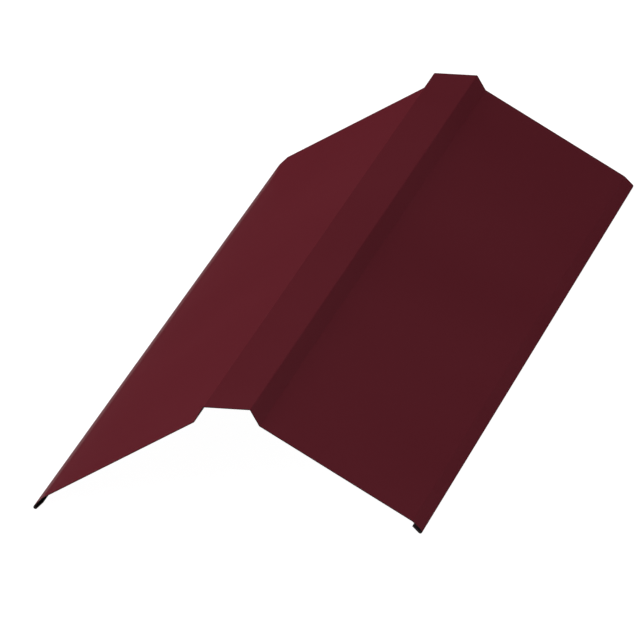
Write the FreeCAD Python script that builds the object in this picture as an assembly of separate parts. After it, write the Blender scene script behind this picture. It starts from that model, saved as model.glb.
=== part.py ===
# Roof ridge cap: one strip of painted steel sheet, folded along its length.
# It straddles the ridge of a pitched roof. A flat crown stands on two short risers,
# a wide wing runs down each slope, and each wing ends in a steeper drip lip whose
# edge is folded back under itself as an open hem.
#
# Sizes are in millimetres. X runs across the ridge, Y along it and Z up.
# The origin is on the floor that the two hems stand on, under the middle of the cap.
# Panel lengths are measured on the painted face, to the sharp corners that the faces
# would meet in if the bends had no radius. Angles are degrees below the horizontal.

import FreeCAD, Part
import math
import os

cap_length = 1000.0
sheet_thickness = 0.5
bend_radius = 1.0

crown_width = 40.0

riser_length = 15.7
riser_angle = 60.0

wing_length = 149.0
wing_slope = 30.0

lip_length = 12.4
lip_angle = 45.0

hem_return = 9.6
hem_gap = 2.5

HALF_TURN = 180.0


def direction(heading):
    """Unit vector that points outwards along a panel falling at this angle."""
    angle = math.radians(heading)
    return FreeCAD.Vector(math.cos(angle), 0, -math.sin(angle))


def inward(heading):
    """Unit vector from the painted face of such a panel to its underside."""
    angle = math.radians(heading)
    return FreeCAD.Vector(-math.sin(angle), 0, -math.cos(angle))


def painted_radius(turn, inside_radius):
    """Radius of the painted face, which is outside a bend that turns down and inside one that turns up."""
    return inside_radius + sheet_thickness if turn > 0 else inside_radius


def setback(turn, inside_radius):
    """Length that a bend takes from each panel that it joins, measured on the painted face."""
    radius = painted_radius(turn, inside_radius)
    if turn == HALF_TURN:
        return radius
    return radius * math.tan(math.radians(abs(turn)) / 2)


def flat_edges(start, heading, length):
    """Painted face and underside of a flat panel, and the point where the panel ends."""
    end = start + direction(heading) * length
    through = inward(heading) * sheet_thickness
    return [Part.LineSegment(start, end), Part.LineSegment(start + through, end + through)], end


def bend_edges(start, heading, turn, inside_radius):
    """Painted face and underside of a bend as arcs about one centre, its end point and that centre."""
    radius = painted_radius(turn, inside_radius)
    towards_centre = 1 if turn > 0 else -1
    centre = start + inward(heading) * (towards_centre * radius)
    middle_heading, end_heading = heading + turn / 2, heading + turn

    def arc(distance):
        points = [
            centre - inward(angle) * (towards_centre * distance)
            for angle in (heading, middle_heading, end_heading)
        ]
        return Part.Arc(*points)

    underside_radius = radius - towards_centre * sheet_thickness
    end = centre - inward(end_heading) * (towards_centre * radius)
    return [arc(radius), arc(underside_radius)], end, centre


def half_outline():
    """Edges of the section from mid-crown to the free edge of one hem, and its lowest height."""
    hem_radius = hem_gap / 2
    panels = [crown_width / 2, riser_length, wing_length, lip_length, hem_return]
    bends = [
        (riser_angle, bend_radius),
        (wing_slope - riser_angle, bend_radius),
        (lip_angle - wing_slope, bend_radius),
        (HALF_TURN, hem_radius),
    ]
    edges = []
    point, heading, taken = FreeCAD.Vector(0, 0, 0), 0.0, 0.0
    for panel, (turn, inside_radius) in zip(panels, bends):
        gives = setback(turn, inside_radius)
        flat, point = flat_edges(point, heading, panel - taken - gives)
        bend, point, centre = bend_edges(point, heading, turn, inside_radius)
        edges += flat + bend
        heading += turn
        taken = gives
    flat, point = flat_edges(point, heading, panels[-1] - taken)
    free_edge = Part.LineSegment(point, point + inward(heading) * sheet_thickness)
    lowest = centre.z - painted_radius(HALF_TURN, hem_radius)
    return edges + flat + [free_edge], lowest


def ridge_cap():
    """The whole cap: the folded section, drawn along the ridge and set down on its hems."""
    outline, lowest = half_outline()
    right = [edge.toShape() for edge in outline]
    left = [edge.mirror(FreeCAD.Vector(0, 0, 0), FreeCAD.Vector(1, 0, 0)) for edge in right]
    section = Part.Face(Part.Wire(Part.__sortEdges__(right + left)))
    section.translate(FreeCAD.Vector(0, -cap_length / 2, -lowest))
    return section.extrude(FreeCAD.Vector(0, cap_length, 0)).removeSplitter()


def main():
    os.makedirs("parts", exist_ok=True)
    cap = ridge_cap()
    cap.exportStep("parts/ridge_cap_sheet.step")
    box = cap.BoundBox
    print("solids", len(cap.Solids), "valid", cap.isValid(), "volume mm3", round(cap.Volume, 1))
    sizes = [round(size, 2) for size in (box.XLength, box.YLength, box.ZLength)]
    print("size mm", sizes, "lowest point", round(box.ZMin, 4))


main()
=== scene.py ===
import math

import bmesh
import bpy
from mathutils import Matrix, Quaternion, Vector


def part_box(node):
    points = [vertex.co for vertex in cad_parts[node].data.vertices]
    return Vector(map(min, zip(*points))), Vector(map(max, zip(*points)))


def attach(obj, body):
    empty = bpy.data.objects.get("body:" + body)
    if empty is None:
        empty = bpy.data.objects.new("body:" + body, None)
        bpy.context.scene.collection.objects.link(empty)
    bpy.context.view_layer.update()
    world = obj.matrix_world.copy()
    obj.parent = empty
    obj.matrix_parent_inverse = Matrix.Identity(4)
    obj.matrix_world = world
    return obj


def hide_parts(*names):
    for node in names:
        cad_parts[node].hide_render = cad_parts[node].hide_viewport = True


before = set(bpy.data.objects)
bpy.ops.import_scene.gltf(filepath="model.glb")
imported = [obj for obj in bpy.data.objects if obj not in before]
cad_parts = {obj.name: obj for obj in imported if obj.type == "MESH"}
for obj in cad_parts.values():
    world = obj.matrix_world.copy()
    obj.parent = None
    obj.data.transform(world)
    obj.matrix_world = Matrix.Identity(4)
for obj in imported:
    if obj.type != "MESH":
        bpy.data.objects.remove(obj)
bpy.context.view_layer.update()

# The sheet of the ridge cap
# One strip of galvanised steel, coil-coated wine red on its face and warm grey on its back.
# A folding machine bends it lengthwise into crown, risers, wings and drip lips, and turns
# each lip's edge back under itself as an open hem. The two ends are cut square.

box_low, box_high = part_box("ridge_cap_sheet")
cap_length = box_high.y - box_low.y
crown_height = box_high.z

sheet_thickness = 0.0005
inside_radius = 0.001

# Lengths run on the painted face, to the sharp corners that the panels would meet in.
# Slopes are degrees below the horizontal.
crown_width = 0.040
riser_length = 0.0157
riser_slope = 60.0
wing_length = 0.149
wing_slope = 30.0
lip_length = 0.0124
lip_slope = 45.0
hem_return = 0.0096
hem_gap = 0.0025
half_turn = 180.0

lengths_along = 40
wing_strips = 6
degrees_per_step = 7.5
smooth_up_to = 20.0
weld_distance = 0.00001


def outwards(slope):
    """Direction of travel across the sheet, from the crown to the hem, where it falls at this slope."""
    angle = math.radians(slope)
    return Vector((math.cos(angle), 0, -math.sin(angle)))


def inwards(slope):
    """Direction from the painted face to the back of the sheet, where it falls at this slope."""
    angle = math.radians(slope)
    return Vector((-math.sin(angle), 0, -math.cos(angle)))


def face_radius(turn, radius):
    """Radius of the painted face, which is outside a bend that turns down and inside one that turns up."""
    return radius + sheet_thickness if turn > 0 else radius


def setback(turn, radius):
    """Length that a bend takes from the panels on both sides of it."""
    if turn == half_turn:
        return face_radius(turn, radius)
    return face_radius(turn, radius) * math.tan(math.radians(abs(turn)) / 2)


def run_out(slope, length, strips=1):
    """Draws the edge that is selected out into a flat panel, and returns how far it went."""
    for strip in range(strips):
        bpy.ops.mesh.extrude_region_move(
            TRANSFORM_OT_translate={"value": outwards(slope) * length / strips}
        )
    return outwards(slope) * length


def bend(place, slope, turn, radius):
    """Spins the edge that is selected round the middle of a bend, and returns how far it went."""
    side = 1 if turn > 0 else -1
    middle = place + inwards(slope) * side * face_radius(turn, radius)
    bpy.ops.mesh.spin(
        steps=round(abs(turn) / degrees_per_step),
        angle=-math.radians(turn),
        center=middle,
        axis=(0, 1, 0),
    )
    return middle - inwards(slope + turn) * side * face_radius(turn, radius) - place


crown_bend = riser_slope
foot_bend = wing_slope - riser_slope
drip_bend = lip_slope - wing_slope
hem_radius = hem_gap / 2

# Half of the painted face is drawn out, from mid-crown to the hem's free edge, and then mirrored.
crown_flat = crown_width / 2 - setback(crown_bend, inside_radius)
bpy.ops.object.select_all(action="DESELECT")
bpy.ops.mesh.primitive_grid_add(
    x_subdivisions=1,
    y_subdivisions=lengths_along,
    size=1,
    location=(crown_flat / 2, 0, crown_height),
)
sheet = bpy.context.object
sheet.name = "painted_sheet"
sheet.data.name = "painted_sheet"
sheet.scale = (crown_flat, cap_length, 1)
bpy.ops.object.transform_apply(location=True, rotation=True, scale=True)

bpy.ops.object.mode_set(mode="EDIT")
bpy.ops.mesh.select_mode(type="EDGE")
bpy.ops.mesh.select_all(action="DESELECT")
shape = bmesh.from_edit_mesh(sheet.data)
for edge in shape.edges:
    edge.select_set(all(abs(corner.co.x - crown_flat) < weld_distance for corner in edge.verts))
bmesh.update_edit_mesh(sheet.data)

place = Vector((crown_flat, 0, crown_height))
place += bend(place, 0, crown_bend, inside_radius)
riser_flat = riser_length - setback(crown_bend, inside_radius) - setback(foot_bend, inside_radius)
place += run_out(riser_slope, riser_flat)
place += bend(place, riser_slope, foot_bend, inside_radius)
wing_flat = wing_length - setback(foot_bend, inside_radius) - setback(drip_bend, inside_radius)
place += run_out(wing_slope, wing_flat, wing_strips)
place += bend(place, wing_slope, drip_bend, inside_radius)
lip_flat = lip_length - setback(drip_bend, inside_radius) - setback(half_turn, hem_radius)
place += run_out(lip_slope, lip_flat)
place += bend(place, lip_slope, half_turn, hem_radius)
place += run_out(lip_slope + half_turn, hem_return - setback(half_turn, hem_radius))
bpy.ops.object.mode_set(mode="OBJECT")

mirror = sheet.modifiers.new("other half", "MIRROR")
mirror.merge_threshold = weld_distance
bpy.ops.object.modifier_apply(modifier=mirror.name)
bpy.ops.object.mode_set(mode="EDIT")
bpy.ops.mesh.select_all(action="SELECT")
bpy.ops.mesh.remove_doubles(threshold=weld_distance)
bpy.ops.mesh.normals_make_consistent(inside=False)
shape = bmesh.from_edit_mesh(sheet.data)
crown = max(shape.faces, key=lambda face: face.calc_center_median().z)
if crown.normal.z < 0:
    bpy.ops.mesh.flip_normals()
bpy.ops.object.mode_set(mode="OBJECT")


def new_finish(name, shine):
    """A new material with this shine, and its nodes, links and shader."""
    material = bpy.data.materials.new(name)
    material.use_nodes = True
    nodes = material.node_tree.nodes
    shader = nodes["Principled BSDF"]
    shader.inputs["Specular IOR Level"].default_value = shine
    return material, nodes, material.node_tree.links, shader


def speckle(nodes, links, where, per_metre, detail):
    """An uneven pattern with about this many spots to the metre."""
    noise = nodes.new("ShaderNodeTexNoise")
    noise.inputs["Scale"].default_value = per_metre
    noise.inputs["Detail"].default_value = detail
    links.new(where, noise.inputs["Vector"])
    return noise.outputs["Fac"]


def vary(nodes, links, shader, pattern, tones, roughness):
    """Lets a pattern drive the colour, from one tone to the other, and the roughness between two ends."""
    ramp = nodes.new("ShaderNodeValToRGB")
    for stop, (position, colour) in zip(ramp.color_ramp.elements, tones.items()):
        stop.position = position
        stop.color = (*colour, 1)
    links.new(pattern, ramp.inputs["Fac"])
    links.new(ramp.outputs["Color"], shader.inputs["Base Color"])
    gloss = nodes.new("ShaderNodeMapRange")
    gloss.inputs["To Min"].default_value = roughness[0]
    gloss.inputs["To Max"].default_value = roughness[1]
    links.new(pattern, gloss.inputs["Value"])
    links.new(gloss.outputs["Result"], shader.inputs["Roughness"])


drifts_per_metre = 5.0
tone_drift = 0.03
roughness_drift = 0.04
peel_per_metre = 700.0
peel_depth = 0.00003
peel_strength = 0.5


def paint(name, colour, roughness, shine, streaks):
    """A roller coat baked on the coil. Its tone drifts in streaks, this many times as long as wide,
    and it has a fine orange peel."""
    material, nodes, links, shader = new_finish(name, shine)
    where = nodes.new("ShaderNodeTexCoord").outputs["Object"]
    drawn_out = nodes.new("ShaderNodeMapping")
    drawn_out.inputs["Scale"].default_value = (1, 1 / streaks, 1)
    links.new(where, drawn_out.inputs["Vector"])
    drift = speckle(nodes, links, drawn_out.outputs["Vector"], drifts_per_metre * streaks, detail=3.0)
    darker = [part * (1 - tone_drift) for part in colour]
    lighter = [part * (1 + tone_drift) for part in colour]
    ends = (roughness - roughness_drift, roughness + roughness_drift)
    vary(nodes, links, shader, drift, tones={0.3: darker, 0.7: lighter}, roughness=ends)

    peel = speckle(nodes, links, where, peel_per_metre, detail=2.0)
    bump = nodes.new("ShaderNodeBump")
    bump.inputs["Strength"].default_value = peel_strength
    bump.inputs["Distance"].default_value = peel_depth
    links.new(peel, bump.inputs["Height"])
    links.new(bump.outputs["Normal"], shader.inputs["Normal"])
    return material


marks_per_metre = 900.0
# The cut edges' tones are painted shade: near black, where bare sheared steel is grey.
painted_shade_steel = (0.004, 0.003, 0.003)
painted_shade_marked_steel = (0.014, 0.010, 0.010)


def sheared_steel_in_painted_shade(name, shine):
    """The core that the shear lays bare at the cut edges, dull, with fine uneven marks, painted near black
    as shade.
    """
    material, nodes, links, shader = new_finish(name, shine)
    where = nodes.new("ShaderNodeTexCoord").outputs["Object"]
    marks = speckle(nodes, links, where, marks_per_metre, detail=3.0)
    tones = {0.35: painted_shade_steel, 0.75: painted_shade_marked_steel}
    vary(nodes, links, shader, marks, tones, roughness=(0.45, 0.65))
    return material


wine_red = (0.111, 0.0105, 0.0172)
warm_grey = (0.100, 0.070, 0.075)
face_coat = paint("wine_red_face_coat", wine_red, roughness=0.42, shine=0.15, streaks=1)
backing_coat = paint("warm_grey_backing_coat", warm_grey, roughness=0.55, shine=0.2, streaks=8)
cut_edge = sheared_steel_in_painted_shade("cut_edge", shine=0.1)
for finish in (face_coat, backing_coat, cut_edge):
    sheet.data.materials.append(finish)

# The mesh so far is the painted face, and the sheet's thickness lies behind it.
gauge = sheet.modifiers.new("gauge", "SOLIDIFY")
gauge.thickness = sheet_thickness
gauge.offset = -1
gauge.use_even_offset = True
gauge.material_offset = 1
gauge.material_offset_rim = 2
bpy.ops.object.modifier_apply(modifier=gauge.name)

bpy.ops.object.shade_smooth_by_angle(angle=math.radians(smooth_up_to))
weights = sheet.modifiers.new("flat panels", "WEIGHTED_NORMAL")
weights.keep_sharp = True
bpy.ops.object.modifier_apply(modifier=weights.name)

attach(sheet, "root")
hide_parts("ridge_cap_sheet")

# The studio floor
# A plain white board that glows, so that no shadow shows on it. The paint doesn't mirror it, and
# it is clear from below, so that the cap's underside can be seen.

floor_width = 60.0
bpy.ops.object.select_all(action="DESELECT")
bpy.ops.mesh.primitive_plane_add(size=floor_width, location=(0, 0, 0))
floor = bpy.context.object
floor.name = "studio_floor"
floor.visible_glossy = False


def glowing_board(name, shade, glow):
    """A matt finish of this shade of grey that gives off white light."""
    material, _, _, shader = new_finish(name, shine=0)
    shader.inputs["Base Color"].default_value = (shade, shade, shade, 1)
    shader.inputs["Roughness"].default_value = 1
    shader.inputs["Emission Color"].default_value = (1, 1, 1, 1)
    shader.inputs["Emission Strength"].default_value = glow
    return material


white_floor = glowing_board("white_floor", shade=0.15, glow=0.98)
nodes = white_floor.node_tree.nodes
links = white_floor.node_tree.links
underneath = nodes.new("ShaderNodeNewGeometry")
clear = nodes.new("ShaderNodeBsdfTransparent")
seen_through = nodes.new("ShaderNodeMixShader")
links.new(underneath.outputs["Backfacing"], seen_through.inputs["Fac"])
links.new(nodes["Principled BSDF"].outputs["BSDF"], seen_through.inputs[1])
links.new(clear.outputs["BSDF"], seen_through.inputs[2])
links.new(seen_through.outputs["Shader"], nodes["Material Output"].inputs["Surface"])
floor.data.materials.append(white_floor)

# The light tent
# White cloth all round, bright on the left and darker towards the right, which the paint doesn't
# mirror. The camera sees a plain white backdrop in its place.

bright_cloth = (1, 1, 1)
shaded_cloth = (0.32, 0.32, 0.38)
tent_strength = 1.19
backdrop_strength = 1.05

world = bpy.data.worlds.new("light_tent")
bpy.context.scene.world = world
world.use_nodes = True
world.cycles_visibility.glossy = False
nodes = world.node_tree.nodes
links = world.node_tree.links
tent = nodes["Background"]
tent.inputs["Strength"].default_value = tent_strength
where = nodes.new("ShaderNodeTexCoord")
split = nodes.new("ShaderNodeSeparateXYZ")
links.new(where.outputs["Generated"], split.inputs["Vector"])
across = nodes.new("ShaderNodeMapRange")
across.inputs["From Min"].default_value = -1
across.inputs["From Max"].default_value = 1
links.new(split.outputs["X"], across.inputs["Value"])
walls = nodes.new("ShaderNodeValToRGB")
walls.color_ramp.elements[0].color = (*bright_cloth, 1)
walls.color_ramp.elements[1].color = (*shaded_cloth, 1)
links.new(across.outputs["Result"], walls.inputs["Fac"])
links.new(walls.outputs["Color"], tent.inputs["Color"])
backdrop = nodes.new("ShaderNodeBackground")
backdrop.inputs["Color"].default_value = (*bright_cloth, 1)
backdrop.inputs["Strength"].default_value = backdrop_strength
path = nodes.new("ShaderNodeLightPath")
seen = nodes.new("ShaderNodeMixShader")
links.new(path.outputs["Is Camera Ray"], seen.inputs["Fac"])
links.new(tent.outputs["Background"], seen.inputs[1])
links.new(backdrop.outputs["Background"], seen.inputs[2])
links.new(seen.outputs["Shader"], nodes["World Output"].inputs["Surface"])

# The softboxes
# Square soft lights, all aimed at the cap. Two on the left, one in front and one behind, light
# the body of the paint. Three weaker ones, left, right and above, show only in its sheen.


def softbox(name, place, width, watts, only_sheen):
    """A square soft light aimed at the cap, which lights either the paint's body or its sheen."""
    bpy.ops.object.light_add(type="AREA", location=place)
    light = bpy.context.object
    light.name = name
    light.rotation_euler = (-Vector(place)).to_track_quat("-Z", "Y").to_euler()
    light.data.size = width
    light.data.energy = watts
    light.visible_camera = False
    light.visible_diffuse = not only_sheen
    light.visible_glossy = only_sheen


softbox("key_softbox", place=(-0.8, -2.5, 1.5), width=1.4, watts=23, only_sheen=False)
softbox("fill_softbox", place=(-2.5, 2.0, 0.6), width=1.4, watts=32, only_sheen=False)
softbox("left_softbox", place=(-2.5, 0.3, 1.1), width=1.5, watts=14, only_sheen=True)
softbox("right_softbox", place=(2.5, 0.3, 1.1), width=1.5, watts=14, only_sheen=True)
softbox("top_softbox", place=(0, 0.3, 2.6), width=1.5, watts=14, only_sheen=True)

# The bounce card
# A narrow white card that lies along the left lip, just off the floor. Only the paint's sheen
# shows it, as a thin light line on the lip, and it casts no shadow.

card_width = 0.02
bpy.ops.mesh.primitive_plane_add(size=1, location=(box_low.x - card_width / 2, 0, sheet_thickness))
card = bpy.context.object
card.name = "bounce_card"
card.scale = (card_width, cap_length, 1)
card.data.materials.append(glowing_board("white_card", shade=0, glow=0.6))
card.visible_camera = False
card.visible_diffuse = False
card.visible_transmission = False
card.visible_shadow = False

# The camera
# It stands far off in front of the near end, to the right and above, with a long lens, and is
# placed so that the cap's edges fall where the photo shows them.

azimuth = math.radians(11.634)
elevation = math.radians(17.624)
roll = math.radians(-0.129)
aim = Vector((-0.0239, 0, 0.0179))
distance = 9.647
back = Vector((
    math.sin(azimuth) * math.cos(elevation),
    -math.cos(azimuth) * math.cos(elevation),
    math.sin(elevation),
))
bpy.ops.object.camera_add(location=aim + back * distance)
camera = bpy.context.object
camera.rotation_mode = "QUATERNION"
camera.rotation_quaternion = (-back).to_track_quat("-Z", "Y") @ Quaternion((0, 0, 1), roll)
camera.data.lens = 622.7
camera.data.sensor_width = 36
camera.data.clip_end = 200
bpy.context.scene.camera = camera
bpy.context.scene.view_settings.view_transform = "Standard"
